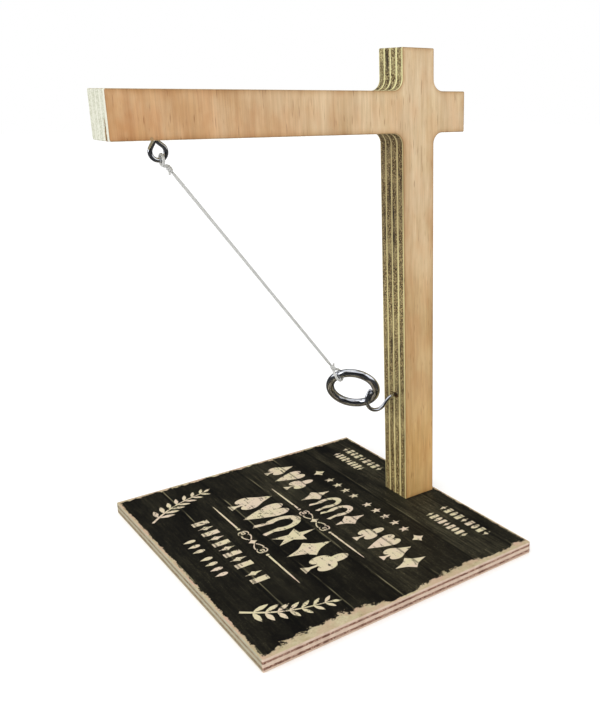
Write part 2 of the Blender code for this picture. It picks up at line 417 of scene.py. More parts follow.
def gallows_veneer(name):
    """The face veneer: pinker towards the arm's tip, yellower down the post, lighter at its foot as painted
    light, and browned along its edges.
    """
    n, colour = face_veneer(name, rgb(218, 194, 158), rgb(190, 159, 120), rgb(128, 88, 54), 0.5)
    place = n.place()
    x, _, z = n.split(place)
    patch = n.noise(n.stretch(place, (1, 1, 0.6)), 62, 3, 0.6)
    drift = n.noise(n.stretch(place, (1, 1, 0.5)), 105, 2, 0.5)

    def tint(before, mask, shade):
        return n.mix(mask, before, n.mix(1, before, shade, "MULTIPLY"))

    colour = tint(colour, n.ramp(patch, [(0.42, 0), (0.66, 0.5)]), rgb(243, 238, 222))
    colour = tint(colour, n.ramp(drift, [(0.45, 0), (0.65, 0.5)]), rgb(252, 236, 226))
    tip = n.scaled(x, -6, 0.32, clamp=True)
    colour = tint(colour, n.times(tip, n.ramp(patch, [(0.3, 0.6), (0.6, 1)])), rgb(236, 205, 176))
    down = n.scaled(z, -11, 2.35, clamp=True)
    colour = tint(colour, down, rgb(243, 233, 210))
    # Painted light: lighter and yellower towards the foot, lifting the shade that falls near the dark base.
    foot = n.scaled(z, -22, 2, clamp=True)
    colour = n.mix(foot, colour, n.mix(1, colour, (1.16, 1.08, 0.86, 1), "MULTIPLY"))
    depth = n.scaled(gallows_depth(n, x, z), 1000, n.times(patch, -0.8))
    near_edge = n.ramp(n.times(depth, 0.25), [(0, 0.85), (0.1, 0.42), (0.5, 0.12), (0.9, 0)])
    n.set(Base_Color=tint(colour, near_edge, rgb(206, 182, 146)))
    return n.material


def plywood_edge(name, plies, colours, voids, light_and_shade_by_height=None):
    """Edge of a sheet: plies holds the axis across it, its two faces and its stops. A ramp by height, when
    given, paints light and shade along the edge.
    """
    axis, low, high, stops = plies
    n = Surface(name, 0.72)
    place = n.place()
    across = n.split(place)[axis]
    wander = n.noise(n.stretch(place, (1, 1, 0.3)), 55, 2, 0.5)
    share = n.over(n.minus(across, low), high - low)
    share = n.plus(share, n.scaled(wander, 0.03, -0.015))
    named = {key: rgb(*colour) for key, colour in zip(("Long_ply", "Cross_ply", "Void"), colours)}
    out = n.group(PLIES, Place=place, Cross_mask=n.ramp(share, stops), Void_amount=voids, **named)
    colour = out["Color"]
    # Painted light and shade by height: the ramp lightens the edge at the foot and above the arm, and
    # darkens it just under the arm as a painted shadow of the arm.
    if light_and_shade_by_height:
        height = n.scaled(wander, 0.06, n.minus(n.split(place)[2], 0.03))
        colour = n.mix(1, colour, n.ramp(n.over(height, POST_TOP), light_and_shade_by_height), "MULTIPLY")
    return n.done(colour, out["Height"], 0.0002, 0.7)


def bands(edges, soft=0.008):
    """Ramp stops that switch 0, 1, 0, 1 at the given shares, each over a short blend."""
    stops = [(0, 0)]
    value = 0
    for at in edges:
        stops.append((at - soft, value))
        value = 1 - value
        stops.append((at + soft, value))
    return stops


def printed_top(name):
    """Dark print with a ragged unprinted border, wide along the front edge."""
    n = Surface(name, 0.5, Specular_IOR_Level=0.12)
    place = n.place()
    out = n.group(PRINT, Place=place, Wear=0.28)
    x, y, _ = n.split(place)
    front_width = n.ramp(
        n.scaled(x, 5, 0.5),
        [(0.04, 0.3), (0.12, 0.62), (0.28, 0.74), (0.4, 0.66), (0.43, 0.12), (0.5, 0.14), (0.6, 0.5),
         (0.74, 0.62), (0.82, 0.25), (0.96, 0.42)],
    )
    front = n.over(n.minus(y, BASE_LO.y), n.times(front_width, 0.0108))
    back = n.over(n.minus(BASE_HI.y, y), 0.003)
    left = n.over(n.minus(x, BASE_LO.x), 0.0018)
    right = n.over(n.minus(BASE_HI.x, x), 0.0016)
    depth = n.least(n.least(front, back), n.least(left, right))
    rag = n.scaled(n.noise(place, 520, 4, 0.75), 0.55, n.noise(place, 150, 6, 0.75))
    rag = n.scaled(rag, 3, -2.3)
    printed = n.ramp(n.plus(depth, rag), rise(0.94, 1))
    bare = n.group(
        GRAIN, Place=place, Light=rgb(204, 193, 158), Dark=rgb(174, 156, 120),
        Pore=rgb(96, 78, 50), Pore_amount=0.8,
    )
    pink = n.ramp(n.noise(place, 90, 3, 0.6), rise(0.4, 0.7))
    wood = n.mix(pink, bare["Color"], rgb(198, 167, 143))
    flecks = n.times(out["Rubbed"], n.ramp(depth, [(0, 1), (1, 0)]))
    keep = n.times(printed, n.minus(1, n.times(flecks, 0.6)))
    height = n.plus(out["Height"], keep)
    return n.done(n.mix(keep, wood, out["Ink"]), height, 0.00006, 0.6, n.scaled(keep, 0.08, 0.5))


def print_ink(name, pale, tinted, wear):
    """The artwork's pale ink, with the dark print showing where it is rubbed."""
    n = Surface(name, 0.52, Specular_IOR_Level=0.15)
    place = n.place()
    out = n.group(PRINT, Place=place, Wear=wear)
    patch = n.ramp(n.noise(place, 55, 3, 0.6), rise(0.4, 0.62))
    colour = n.mix(n.times(patch, 0.8), pale, tinted)
    return n.done(n.mix(out["Rubbed"], colour, out["Ink"]), out["Height"], 0.00004, 0.6)


def plated(name, bright, dull, polish):
    n = Surface(name, polish, Metallic=1)
    out = n.group(PLATED, Place=n.place(), Bright=bright, Dull=dull, Polish=polish)
    return n.done(out["Color"], out["Height"], 0.00001, 0.35, out["Roughness"])


def nylon_line(name):
    n = Surface(name, 0.2, Transmission_Weight=0.45, IOR=1.53)
    place = n.place()
    cloud = n.noise(place, 70, 2, 0.5)
    colour = n.mix(cloud, rgb(236, 236, 232), rgb(247, 247, 244))
    return n.done(colour, n.noise(place, 1600, 2, 0.5), 0.00001, 0.2, n.scaled(cloud, 0.12, 0.14))


def torn_wood(name):
    n = Surface(name, 0.85)
    fibres = n.noise(n.stretch(n.place(), (1, 1, 0.15)), 900, 3, 0.6)
    colour = n.ramp(fibres, [(0.3, rgb(52, 30, 8)), (0.7, rgb(126, 92, 48))])
    return n.done(colour, fibres, 0.0003, 0.8)


def pale_floor(name):
    n = Surface(name, 0.9, Specular_IOR_Level=0, Emission_Strength=FLOOR_GLOW)
    paper = n.mix(n.noise(n.place(), 3, 2, 0.5), grey(0.93), grey(0.95))
    mirrored = n.add("LightPath").outputs["Is Glossy Ray"]
    n.set(
        Base_Color=n.mix(mirrored, paper, grey(0.05)),
        Emission_Color=n.mix(mirrored, grey(1), grey(0)),
    )
    return n.material


POST_PLIES = (1, PLY_HALF, -PLY_HALF, bands((0.03, 0.215, 0.262, 0.455, 0.505, 0.7, 0.765, 0.945)))
BASE_PLIES = (2, BASE_LO.z, BASE_TOP, bands(BASE_GLUE, 0.015))

VENEER = gallows_veneer("face_veneer")
# The post's edges get painted light and shade by height: lighter at the foot and above the arm, and a
# painted shadow just under the arm.
EDGE_DARK = plywood_edge(
    "post_edge", POST_PLIES, ((210, 200, 148), (130, 106, 62), (34, 19, 3)), 0.9,
    [(0, (1.3, 1.24, 1.06, 1)), (0.25, (1.1, 1.08, 1, 1)), (0.5, (1.08, 1.06, 0.98, 1)),
     (0.7, (0.82, 0.76, 0.7, 1)), (0.825, (0.8, 0.72, 0.66, 1)), (0.86, (1.2, 1.27, 1.3, 1)),
     (1, (1.3, 1.38, 1.42, 1))],
)
EDGE_TOP = plywood_edge("level_edge", POST_PLIES, ((216, 206, 166), (182, 166, 122), (104, 80, 44)), 0.6)
EDGE_PALE = plywood_edge("arm_edge", POST_PLIES, ((216, 215, 200), (208, 209, 192), (172, 172, 148)), 0.15)
RIM_WOOD = face_veneer("rim_wood", rgb(176, 146, 106), rgb(140, 108, 72), rgb(96, 68, 40), 0.6)[0].material
EDGE_LEFT = plywood_edge("base_edge_left", BASE_PLIES, ((172, 167, 142), (152, 126, 94), (98, 70, 44)), 0.4)
EDGE_FRONT = plywood_edge(
    "base_edge_front", BASE_PLIES, ((206, 184, 164), (150, 106, 84), (84, 46, 32)), 0.6
)
TORN = torn_wood("torn_wood")
TOP_PRINT = printed_top("printed_top")
BARE = face_veneer(
    "bare_underside", rgb(222, 196, 152), rgb(198, 164, 118), rgb(150, 112, 74), 0.6,
    turn=(pi / 2, 0, 0),
)[0].material
INK = print_ink("pale_ink", rgb(216, 206, 168), rgb(222, 200, 180), 0.3)
NICKEL = plated("bright_nickel", rgb(220, 223, 230), rgb(188, 191, 200), 0.07)
ZINC = plated("zinc_plate", rgb(196, 192, 172), rgb(160, 156, 140), 0.28)
NYLON = nylon_line("nylon_line")


# ---- mesh helpers


def link(obj, *materials):
    bpy.context.scene.collection.objects.link(obj)
    for material in materials:
        obj.data.materials.append(material)
    return obj


def mesh_object(name, bm, *materials, smooth=False):
    bmesh.ops.recalc_face_normals(bm, faces=bm.faces)
    mesh = bpy.data.meshes.new(name)
    bm.to_mesh(mesh)
    bm.free()
    if smooth:
        mesh.shade_smooth()
    return link(bpy.data.objects.new(name, mesh), *materials)


def piece(obj, body, node=None):
    """Hides the CAD node that a finished piece stands for, if one is given, and puts the piece in its body.
    """
    if node:
        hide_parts(node)
    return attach(obj, body)


def carve(obj, cutters):
    """Cuts the cutters out of obj, and leaves their material on the cut faces."""
    for cutter in cutters:
        mod = obj.modifiers.new(cutter.name, "BOOLEAN")
        mod.operation = "DIFFERENCE"
        mod.solver = "EXACT"
        mod.material_mode = "TRANSFER"
        mod.object = cutter
        bpy.context.view_layer.update()
        graph = bpy.context.evaluated_depsgraph_get()
        mesh = bpy.data.meshes.new_from_object(obj.evaluated_get(graph))
        obj.modifiers.clear()
        obj.data = mesh
        bpy.data.objects.remove(cutter)


def sweep(bm, points, radii, sides, closed=False, shape=None):
    """Adds a tube along points. shape(step, angle) may return a share of the radius."""
    count = len(points)
    tangents = []
    for k in range(count):
        before = points[k - 1] if closed or k else points[k]
        after = points[(k + 1) % count] if closed or k < count - 1 else points[k]
        tangents.append((after - before).normalized())
    side = tangents[0].orthogonal().normalized()
    rings = []
    for k in range(count):
        side = (side - tangents[k] * side.dot(tangents[k])).normalized()
        up = tangents[k].cross(side)
        ring = []
        for s in range(sides):
            a = 2 * pi * s / sides
            reach = radii[k] * (shape(k, a) if shape else 1)
            ring.append(bm.verts.new(points[k] + (side * cos(a) + up * sin(a)) * reach))
        rings.append(ring)
    pairs = list(zip(rings, rings[1:]))
    if closed:
        # turn the last ring to meet the first where the frame has twisted on its way round
        first = min(range(sides), key=lambda s: (rings[0][s].co - rings[-1][0].co).length)
        pairs.append((rings[-1], rings[0][first:] + rings[0][:first]))
    for low, high in pairs:
        for s in range(sides):
            t = (s + 1) % sides
            bm.faces.new((low[s], low[t], high[t], high[s]))
    if not closed:
        bm.faces.new(rings[0])
        bm.faces.new(rings[-1][::-1])


def on_circle(centre_x, centre_z, radius, degrees):
    a = radians(degrees)
    return Vector((centre_x + radius * cos(a), 0, centre_z + radius * sin(a)))


def bend(a, towards_a, b, towards_b, steps):
    """Points between a and b on a cubic curve with the two given handles."""
    found = []
    for k in range(1, steps):
        s = k / steps
        found.append(
            a * (1 - s) ** 3 + towards_a * 3 * s * (1 - s) ** 2 + towards_b * 3 * s * s * (1 - s) + b * s**3
        )
    return found


def even(points, spacing):
    """The same path with points evenly spaced along it."""
    lengths = [0]
    for a, b in zip(points, points[1:]):
        lengths.append(lengths[-1] + (b - a).length)
    count = max(2, round(lengths[-1] / spacing))
    found = []
    at = 0
    for k in range(count + 1):
        want = lengths[-1] * k / count
        while at < len(points) - 2 and lengths[at + 1] < want:
            at += 1
        step = lengths[at + 1] - lengths[at]
        found.append(points[at].lerp(points[at + 1], (want - lengths[at]) / step if step else 0))
    return found


# ---- plywood boards


def rounded(corners, steps=8):
    """Points of a closed outline whose corners (a, b, radius) are rounded with arcs."""
    points = []
    for i, (a, b, radius) in enumerate(corners):
        here = Vector((a, b))
        back = (Vector(corners[i - 1][:2]) - here).normalized()
        ahead = (Vector(corners[(i + 1) % len(corners)][:2]) - here).normalized()
        if radius <= 0:
            points.append(here)
            continue
        centre = here + (back + ahead) * radius
        for k in range(steps + 1):
            turn = pi / 2 * k / steps
            points.append(centre - ahead * radius * cos(turn) - back * radius * sin(turn))
    return points


def dense(outline, spacing):
    """The closed outline with no two points further apart than spacing."""
    found = []
    for k, here in enumerate(outline):
        ahead = outline[(k + 1) % len(outline)]
        count = max(1, ceil((ahead - here).length / spacing))
        found += [here.lerp(ahead, s / count) for s in range(count)]
    return found


def outline_normals(outline):
    """Outward normals of a closed outline that runs anticlockwise."""
    found = []
    for k in range(len(outline)):
        ahead = (outline[(k + 1) % len(outline)] - outline[k]).normalized()
        back = (outline[k] - outline[k - 1]).normalized()
        along = (ahead + back).normalized()
        normal = Vector((along.y, -along.x))
        # a mitre at a sharp corner, so that every side moves in by the same amount
        found.append(normal / max(0.5, sqrt(max(0, (1 + ahead.dot(back)) / 2))))
    return found


def edge_levels(low, high, glue, round_over, rows):
    """(level, inset) pairs through a board: rounded rims, and a fine groove at each glue line."""
    thick = high - low
    levels = {}
    for k in range(5):
        turn = pi / 2 * k / 4
        inset = round_over * (1 - sin(turn))
        depth = round_over * (1 - cos(turn))
        levels[low + depth] = inset
        levels[high - depth] = inset
    for k in range(1, rows):
        at = low + thick * k / rows
        if low + round_over * 1.2 < at < high - round_over * 1.2:
            levels[at] = 0
    for share in glue:
        at = low + thick * share
        for level in [v for v in levels if abs(v - at) < 0.00022 and levels[v] == 0]:
            del levels[level]
        levels[at - 0.00013] = 0
        levels[at] = 0.00007
        levels[at + 0.00013] = 0
    return sorted(levels.items())


def board(name, outline, place, levels, rough, materials, slot_of):
    """A board from an anticlockwise outline. place(point, level) gives the corner in space."""
    bm = bmesh.new()
    normals = outline_normals(outline)
    rows = []
    for level, inset in levels:
        row = []
        for point, normal in zip(outline, normals):
            seat = place(point, level)
            ripple = noise.noise(seat * 420) * rough + noise.noise(seat * 1500) * rough * 0.6
            moved = point - normal * (inset + abs(ripple))
            row.append(bm.verts.new(place(moved, level)))
        rows.append(row)
    count = len(outline)
    for low, high in zip(rows, rows[1:]):
        for k in range(count):
            t = (k + 1) % count
            face = bm.faces.new((low[k], low[t], high[t], high[k]))
            face.material_index = slot_of(face.calc_center_median(), False)
    for cap in (rows[0][::-1], rows[-1]):
        face = bm.faces.new(cap)
        face.material_index = slot_of(face.calc_center_median(), True)
    return mesh_object(name, bm, *materials)


def pit(name, centre, size, seed, material):
    """A torn hollow to cut into wood: a squashed, ragged lump."""
    bm = bmesh.new()
    bmesh.ops.create_icosphere(bm, subdivisions=3, radius=1)
    for vert in bm.verts:
        ragged = 1 + 0.45 * noise.noise(vert.co * 2.3 + Vector((seed, 0, 0)))
        vert.co = Vector(centre) + Vector(a * b for a, b in zip(vert.co * ragged, size))
    return mesh_object(name, bm, material)


def gallows():
    outline = rounded(
        [
            (POST_LEFT, FOOT, 0), (POST_RIGHT, FOOT, 0), (POST_RIGHT, ARM_UNDER, FILLET),
            (STUB_END, ARM_UNDER, CORNER), (STUB_END, ARM_TOP, CORNER), (POST_RIGHT, ARM_TOP, FILLET),
            (POST_RIGHT, POST_TOP, CORNER), (POST_LEFT, POST_TOP, CORNER), (POST_LEFT, ARM_TOP, FILLET),
            (ARM_TIP, ARM_TOP, CORNER), (ARM_TIP, ARM_UNDER, CORNER), (POST_LEFT, ARM_UNDER, FILLET),
        ]
    )
    levels = edge_levels(-PLY_HALF, PLY_HALF, GALLOWS_GLUE, GALLOWS_ROUND, 30)

    def slot_of(at, cap):
        if cap:
            return 0
        if abs(at.y) > PLY_HALF - GALLOWS_ROUND * 0.75:
            return 2 if at.x < ARM_TIP + 0.001 else 4
        if at.x < ARM_TIP + CORNER * 0.4:
            return 2
        level = min(abs(at.z - edge) for edge in (ARM_UNDER, ARM_TOP, POST_TOP)) < 0.0003
        return 5 if level else 1

    obj = board(
        "gallows_plywood", dense(outline, OUTLINE_STEP), lambda p, y: Vector((p.x, y, p.y)), levels,
        0.00006, (VENEER, EDGE_DARK, EDGE_PALE, TORN, RIM_WOOD, EDGE_TOP), slot_of,
    )
    cutters = [
        pit("hook_tear", (POST_LEFT, -0.001, HOOK_LEVEL + 0.0003), (0.0016, 0.0037, 0.0018), 3, TORN),
        pit("eye_tear", (EYE_X, 0, ARM_UNDER), (0.002, 0.0024, 0.0011), 8, TORN),
        pit("arm_end_gap", (ARM_TIP, -0.0094, ARM_UNDER + 0.003), (0.0014, 0.0012, 0.007), 5, RIM_WOOD),
        pit("post_gap", (POST_LEFT, 0.0064, 0.058), (0.0007, 0.0009, 0.017), 12, TORN),
        pit(
            "chip", (EYE_X - 0.0072, -PLY_HALF, ARM_UNDER + 0.0006), (0.0009, 0.00022, 0.0012), 17, RIM_WOOD
        ),
    ]
    carve(obj, cutters)
    piece(obj, "frame", "gallows")


def base_board():
    lo, hi = BASE_LO, BASE_HI
    corners = [(x, y, BASE_CORNER) for x, y in ((lo.x, lo.y), (hi.x, lo.y), (hi.x, hi.y), (lo.x, hi.y))]
    outline = dense(rounded(corners, 4), OUTLINE_STEP)
    levels = edge_levels(BASE_LO.z, BASE_TOP, BASE_GLUE, BASE_ROUND, 14)

    def slot_of(at, cap):
        if at.z > BASE_TOP - 0.0001:
            return 0
        if at.z < BASE_LO.z + 0.0001:
            return 1
        return 3 if abs(at.y) > BASE_HI.y - 0.0011 else 2

    obj = board(
        "base_board_plywood", outline, lambda p, z: Vector((p.x, p.y, z)), levels, 0.00007,
        (TOP_PRINT, BARE, EDGE_LEFT, EDGE_FRONT), slot_of,
    )
    cutters = []
    for k in (1, 2):
        lo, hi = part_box(f"base_screw_{k}")
        x, y = (lo.x + hi.x) / 2, (lo.y + hi.y) / 2
        bm = bmesh.new()
        radius = (hi.x - lo.x) / 2 + 0.0004
        points = [Vector((x, y, height)) for height in (-0.001, 0.0004, 0.0024, 0.006)]
        sweep(bm, points, [radius, radius, 0.0019, 0.0019], 48)
        cutters.append(mesh_object(f"countersink_{k}", bm, BARE))
    carve(obj, cutters)
    piece(obj, "frame", "base_board")


# ---- print


PRINT_RISE = 0.00006
PRINT_SUNK = 0.0003


class Artwork:
    """Flat shapes on the board's top, in millimetres. Rows read towards -Y, and their tops face +X."""

    def __init__(self, name):
        self.name = name
        self.bm = bmesh.new()

    def shape(self, outline):
        """Adds a closed outline of (along the row, up the row) points."""
        area = 0
        for (a, b), (c, d) in zip(outline, outline[1:] + outline[:1]):
            area += a * d - b * c
        if area < 0:
            outline = outline[::-1]
        levels = (BASE_TOP + PRINT_RISE, BASE_TOP - PRINT_SUNK)
        top, low = ([self.bm.verts.new((v * MM, -u * MM, z)) for u, v in outline] for z in levels)
        self.bm.faces.new(top)
        self.bm.faces.new(low[::-1])
        for k in range(len(top)):
            t = (k + 1) % len(top)
            self.bm.faces.new((low[k], low[t], top[t], top[k]))

    def put(self, outline, u, v, width, height, turn=0):
        """Adds an outline drawn in a box from -1 to 1, at (u, v), with that size."""
        c, s = cos(turn), sin(turn)
        found = []
        for a, b in outline:
            x, y = a * width / 2, b * height / 2
            found.append((u + x * c - y * s, v + x * s + y * c))
        self.shape(found)

    def ribbon(self, points, widths):
        """Adds a strip along points (u, v), whose width may change along it."""
        left, right = [], []
        for k, (u, v) in enumerate(points):
            before = points[max(0, k - 1)]
            after = points[min(len(points) - 1, k + 1)]
            along = Vector((after[0] - before[0], after[1] - before[1])).normalized()
            half = (widths[k] if isinstance(widths, list) else widths) / 2
            left.append((u - along.y * half, v + along.x * half))
            right.append((u + along.y * half, v - along.x * half))
        self.shape(left + right[::-1])

    def done(self):
        piece(mesh_object(self.name, self.bm, INK), "frame")


def arc(centre_u, centre_v, radius_u, radius_v, start, end, steps):
    found = []
    for k in range(steps + 1):
        a = radians(start + (end - start) * k / steps)
        found.append((centre_u + radius_u * cos(a), centre_v + radius_v * sin(a)))
    return found


def star():
    found = []
    for k in range(10):
        reach = 1 if k % 2 == 0 else 0.42
        a = pi / 2 + pi * k / 5
        found.append((reach * cos(a), reach * sin(a)))
    return found


def diamond():
    sides = [(0, 1), (1, 0), (0, -1), (-1, 0)]
    found = []
    for (a, b), (c, d) in zip(sides, sides[1:] + sides[:1]):
        for s in (0, 0.25, 0.5, 0.75):
            dip = 1 - 0.22 * sin(pi * s)
            found.append(((a + (c - a) * s) * dip, (b + (d - b) * s) * dip))
    return found


def heart():
    right = arc(0.5, 0.5, 0.5, 0.5, -25, 180, 14)
    left = [(-u, v) for u, v in reversed(right)]
    return [(0, -1), (0.55, -0.35)] + right[:-1] + [(0, 0.5)] + left[1:] + [(-0.55, -0.35)]


def spade():
    right = [(0.14, -0.42), *arc(0.55, -0.2, 0.45, 0.42, -120, 35, 12), (0.45, 0.45), (0.12, 0.86)]
    foot = [(0.12, -0.7), (0.42, -1)]
    left = [(-u, v) for u, v in reversed(foot[::-1] + right)]
    return foot[::-1] + right + [(0, 1)] + left


def club():
    foot = [(0.42, -1), (0.12, -0.7), (0.1, -0.42)]
    right = [*arc(0.55, -0.12, 0.43, 0.42, -150, 75, 14)]
    top = arc(0, 0.55, 0.42, 0.44, -25, 205, 18)
    left = [(-u, v) for u, v in reversed(foot + right)]
    return foot + right + top + left


def horseshoe():
    outer = arc(0, 0.12, 1, 0.88, -38, 218, 28)
    inner = arc(0, 0.18, 0.56, 0.46, 224, -44, 24)
    return [(0.62, -1), (0.95, -0.86)] + outer + [(-0.95, -0.86), (-0.62, -1)] + inner


BAR = [(-1, -1), (1, -1), (1, 1), (-1, 1)]
DOT = arc(0, 0, 1, 1, 0, 337.5, 15)
DROP = [(0, -1), *arc(0, 0.25, 0.8, 0.75, -30, 210, 14)]
SUITS = (spade(), heart(), club(), diamond())


def row(art, shapes, u_from, u_to, v_low, v_high, fill=0.84):
    """Spreads shapes evenly along a row; None leaves a gap half as wide as a shape."""
    units = sum(0.55 if s is None else 1 for s in shapes)
    unit = (u_to - u_from) / units
    at = u_from
    for shape in shapes:
        step = unit * (0.55 if shape is None else 1)
        if shape is not None:
            art.put(shape, at + step / 2, (v_low + v_high) / 2, unit * fill, v_high - v_low)
        at += step


def scroll(art, u, v, half):
    """A divider: tapered rules, and at its middle a diamond between two pairs of curls."""
    for side in (-1, 1):
        rule = [(u + side * reach, v) for reach in (22, half * 0.8, half)]
        art.ribbon(rule, [1.3, 1.1, 0.3])
        for up in (-1, 1):
            curl = []
            widths = []
            for k in range(26):
                a = radians(200 + 17 * k)
                reach = 3.4 - 0.105 * k
                out, rise = reach * cos(a), reach * sin(a) * -0.85
                curl.append((u + side * (13.4 + out), v + up * (0.7 + rise)))
                widths.append(0.35 + 0.7 * sin(pi * min(1, k / 22)))
            art.ribbon(curl, widths)
            rises = [2.9 * sin(s / 3 * pi / 2 + 0.2) for s in range(4)]
            tail = [(u + side * (s * 2.2 + 3.4), v + up * rise) for s, rise in enumerate(rises)]
            art.ribbon(tail, 0.8)
        art.put(DOT, u + side * 20.2, v, 2.2, 2.2)
    art.put(diamond(), u, v, 6.5, 6.2)


def sprig(art, start, end, sag, leaves):
    """A leafy branch from start to end, bowed sideways by sag."""
    a, b = Vector(start), Vector(end)
    across = Vector((-(b - a).y, (b - a).x)).normalized()
    stem = [a.lerp(b, k / 18) + across * sag * sin(pi * k / 18) for k in range(19)]
    art.ribbon([tuple(p) for p in stem], [1.7 - 0.06 * k for k in range(19)])
    leaf = [(0, -1), (0.55, -0.5), (0.8, 0.05), (0.5, 0.6), (0, 1), (-0.5, 0.6), (-0.8, 0.05), (-0.55, -0.5)]
    for k in range(leaves):
        share = 0.14 + 0.8 * k / (leaves - 1)
        at = a.lerp(b, share) + across * sag * sin(pi * share)
        along = (b - a).normalized() + across * sag / (b - a).length * pi * cos(pi * share)
        lean = atan2(along.y, along.x)
        size = 11 - 4 * share
        for side in (-1, 1):
            turn = lean - pi / 2 + side * radians(48)
            reach = Vector((-sin(turn), cos(turn))) * size * 0.55
            art.put(leaf, at.x + reach.x, at.y + reach.y, size * 0.42, size, turn)
    tip = stem[-1] + (b - a).normalized() * 3.2
    art.put(leaf, tip.x, tip.y, 3, 7, atan2((b - a).y, (b - a).x) - pi / 2)


def artwork():
    art = Artwork("print_large_row")
    row(art, [spade(), heart(), horseshoe(), star(), diamond(), club()], -61, 59, -37, -5, 0.9)
    art.done()

    art = Artwork("print_middle_row")
    middle = [diamond(), horseshoe(), horseshoe(), diamond()]
    shapes = [*SUITS[:3], None, *middle, None, *SUITS[2::-1], diamond()]
    row(art, shapes, -93, 89, 8, 31, 0.88)
    art.done()

    art = Artwork("print_scrolls")
    for v in (0.3, -45):
        scroll(art, -1, v, 60)
    art.done()

    art = Artwork("print_small_rows")
    row(art, [star()] * 4 + [None] + [star()] * 5, -53, 51, 37, 45, 0.62)
    for u in (-62.7, 60.3):
        art.put(diamond(), u, 41, 9, 9)
    row(art, [BAR, diamond()] * 4 + [BAR, None, diamond(), BAR], -48, 45, -67, -56, 0.62)
    row(art, [DROP] * 3 + [None] + [DROP] * 4, -29, 26, -81, -73, 0.62)
    art.done()

    art = Artwork("print_corner_rows")
    pattern = [diamond(), BAR, DOT, BAR, diamond(), BAR, DOT, BAR, diamond()]
    for u_from, u_to, v in ((-90, -38, 81), (-86, -48, 70), (36, 86, 80), (38, 78, 67)):
        row(art, pattern, u_from, u_to, v - 3.4, v + 3.4, 0.66)
    art.done()

    for side, name in ((-1, "print_left_sprig"), (1, "print_right_sprig")):
        art = Artwork(name)
        sprig(art, (side * 64, -86), (side * 86, -41), side * -4, 7)
        art.done()


# ---- hook, eye, ring, screws


def threads(points, start, end, pitch, depth):
    """A share of the radius for each step and angle: a screw thread between two path lengths."""
    run = [0]
    for a, b in zip(points, points[1:]):
        run.append(run[-1] + (b - a).length)

    def shape(k, angle):
        if not start <= run[k] <= end:
            return 1
        phase = (run[k] / pitch - angle / (2 * pi)) % 1
        crest = max(0, 1 - abs(phase - 0.5) * 5)
        fade = min(1, (end - run[k]) / pitch, (run[k] - start) / pitch + 0.2)
        return 1 - depth * (1 - crest) * fade

    return shape


def wire(name, points, node, taper_start, taper_end, thread_to):
    """Bent wire with a pointed start and a rounded end; the tapers are in steps of its fine spacing."""
    points = even(points, WIRE_SPACING)
    count = len(points)
    radii = []
    for k in range(count):
        share = 1
        if k < taper_start:
            share = 0.25 + 0.75 * k / taper_start
        left = count - 1 - k
        if left < taper_end:
            share = min(share, sqrt(max(0.02, 1 - (1 - left / taper_end) ** 2)))
        radii.append(WIRE * share)
    bm = bmesh.new()
    sweep(bm, points, radii, 24, shape=threads(points, 0, thread_to, 0.0011, 0.26))
    piece(mesh_object(name, bm, NICKEL, smooth=True), "frame", node)


def screw_hook():
    cx, cz = HOOK_CENTRE
    face = Vector((POST_LEFT, 0, HOOK_LEVEL))
    inside = [face + X_AXIS * HOOK_DEPTH * s for s in (1, 0.6, 0.3)]
    turn = on_circle(cx, cz, HOOK_BEND, HOOK_FROM)
    a = radians(HOOK_FROM)
    onward = Vector((-sin(a), 0, cos(a)))
    neck = bend(face, face - X_AXIS * HOOK_REACH, turn, turn + onward * HOOK_REACH, 24)
    step = (HOOK_FROM - HOOK_TIP) / ARC_STEPS
    circle = [on_circle(cx, cz, HOOK_BEND, HOOK_FROM - step * k) for k in range(ARC_STEPS + 1)]
    wire("hook_wire", inside + [face] + neck + circle, "screw_hook", 20, 7, HOOK_THREAD)


def screw_eye():
    inside = [Vector((EYE_X, 0, ARM_UNDER + EYE_DEPTH * s)) for s in (1, 0.6, 0.2)]
    throat = Vector((EYE_X, 0, ARM_UNDER - EYE_THROAT))
    side = on_circle(EYE_X, EYE_Z, EYE_BEND, EYE_FROM)
    a = radians(EYE_FROM)
    up_side = Vector((-sin(a), 0, cos(a)))
    limb = bend(throat, throat - Z_AXIS * EYE_PULLS[0], side, side + up_side * EYE_PULLS[1], 20)
    circle = [on_circle(EYE_X, EYE_Z, EYE_BEND, EYE_FROM - 3 * k) for k in range(ARC_STEPS + 1)]
    end = [circle[-1].lerp(EYE_CLOSES, s) for s in (0.5, 1)]
    wire("eye_wire", inside + [throat] + limb + circle + end, "screw_eye", 20, 2, EYE_THREAD)


def tie_points():
    """Where the line is tied: on the eye's wire, and on the ring's rim."""
    top = on_circle(EYE_X, EYE_Z, EYE_BEND, TIE_DEG)
    out = top - RING_CENTRE
    out = (out - RING_NORMAL * out.dot(RING_NORMAL)).normalized()
    out.rotate(Matrix.Rotation(radians(RING_TIE_DEG), 3, RING_NORMAL))
    return top, RING_CENTRE + out * RING_MAJOR


TOP_TIE, RING_TIE = tie_points()
ALONG = (RING_TIE - TOP_TIE).normalized()
RIM = RING_NORMAL.cross(RING_TIE - RING_CENTRE).normalized()


def ring():
    """A welded wire ring: the weld is a faint swelling with a fine line each side of it."""
    out = (RING_TIE - RING_CENTRE).normalized()
    across = RING_NORMAL.cross(out)
    steps = 240
    points = []
    radii = []
    for k in range(steps):
        a = 2 * pi * k / steps
        points.append(RING_CENTRE + (out * cos(a) + across * sin(a)) * RING_MAJOR)
        away = abs((a - radians(245) + pi) % (2 * pi) - pi) * RING_MAJOR
        swell = 0.01 * exp(-((away / 0.0012) ** 2)) - 0.02 * exp(-((away / 0.0002) ** 2))
        radii.append(RING_MINOR * (0.996 + swell))
    bm = bmesh.new()
    sweep(bm, points, radii, 48, closed=True)
    piece(mesh_object("ring_wire", bm, NICKEL, smooth=True), "ring", "ring")


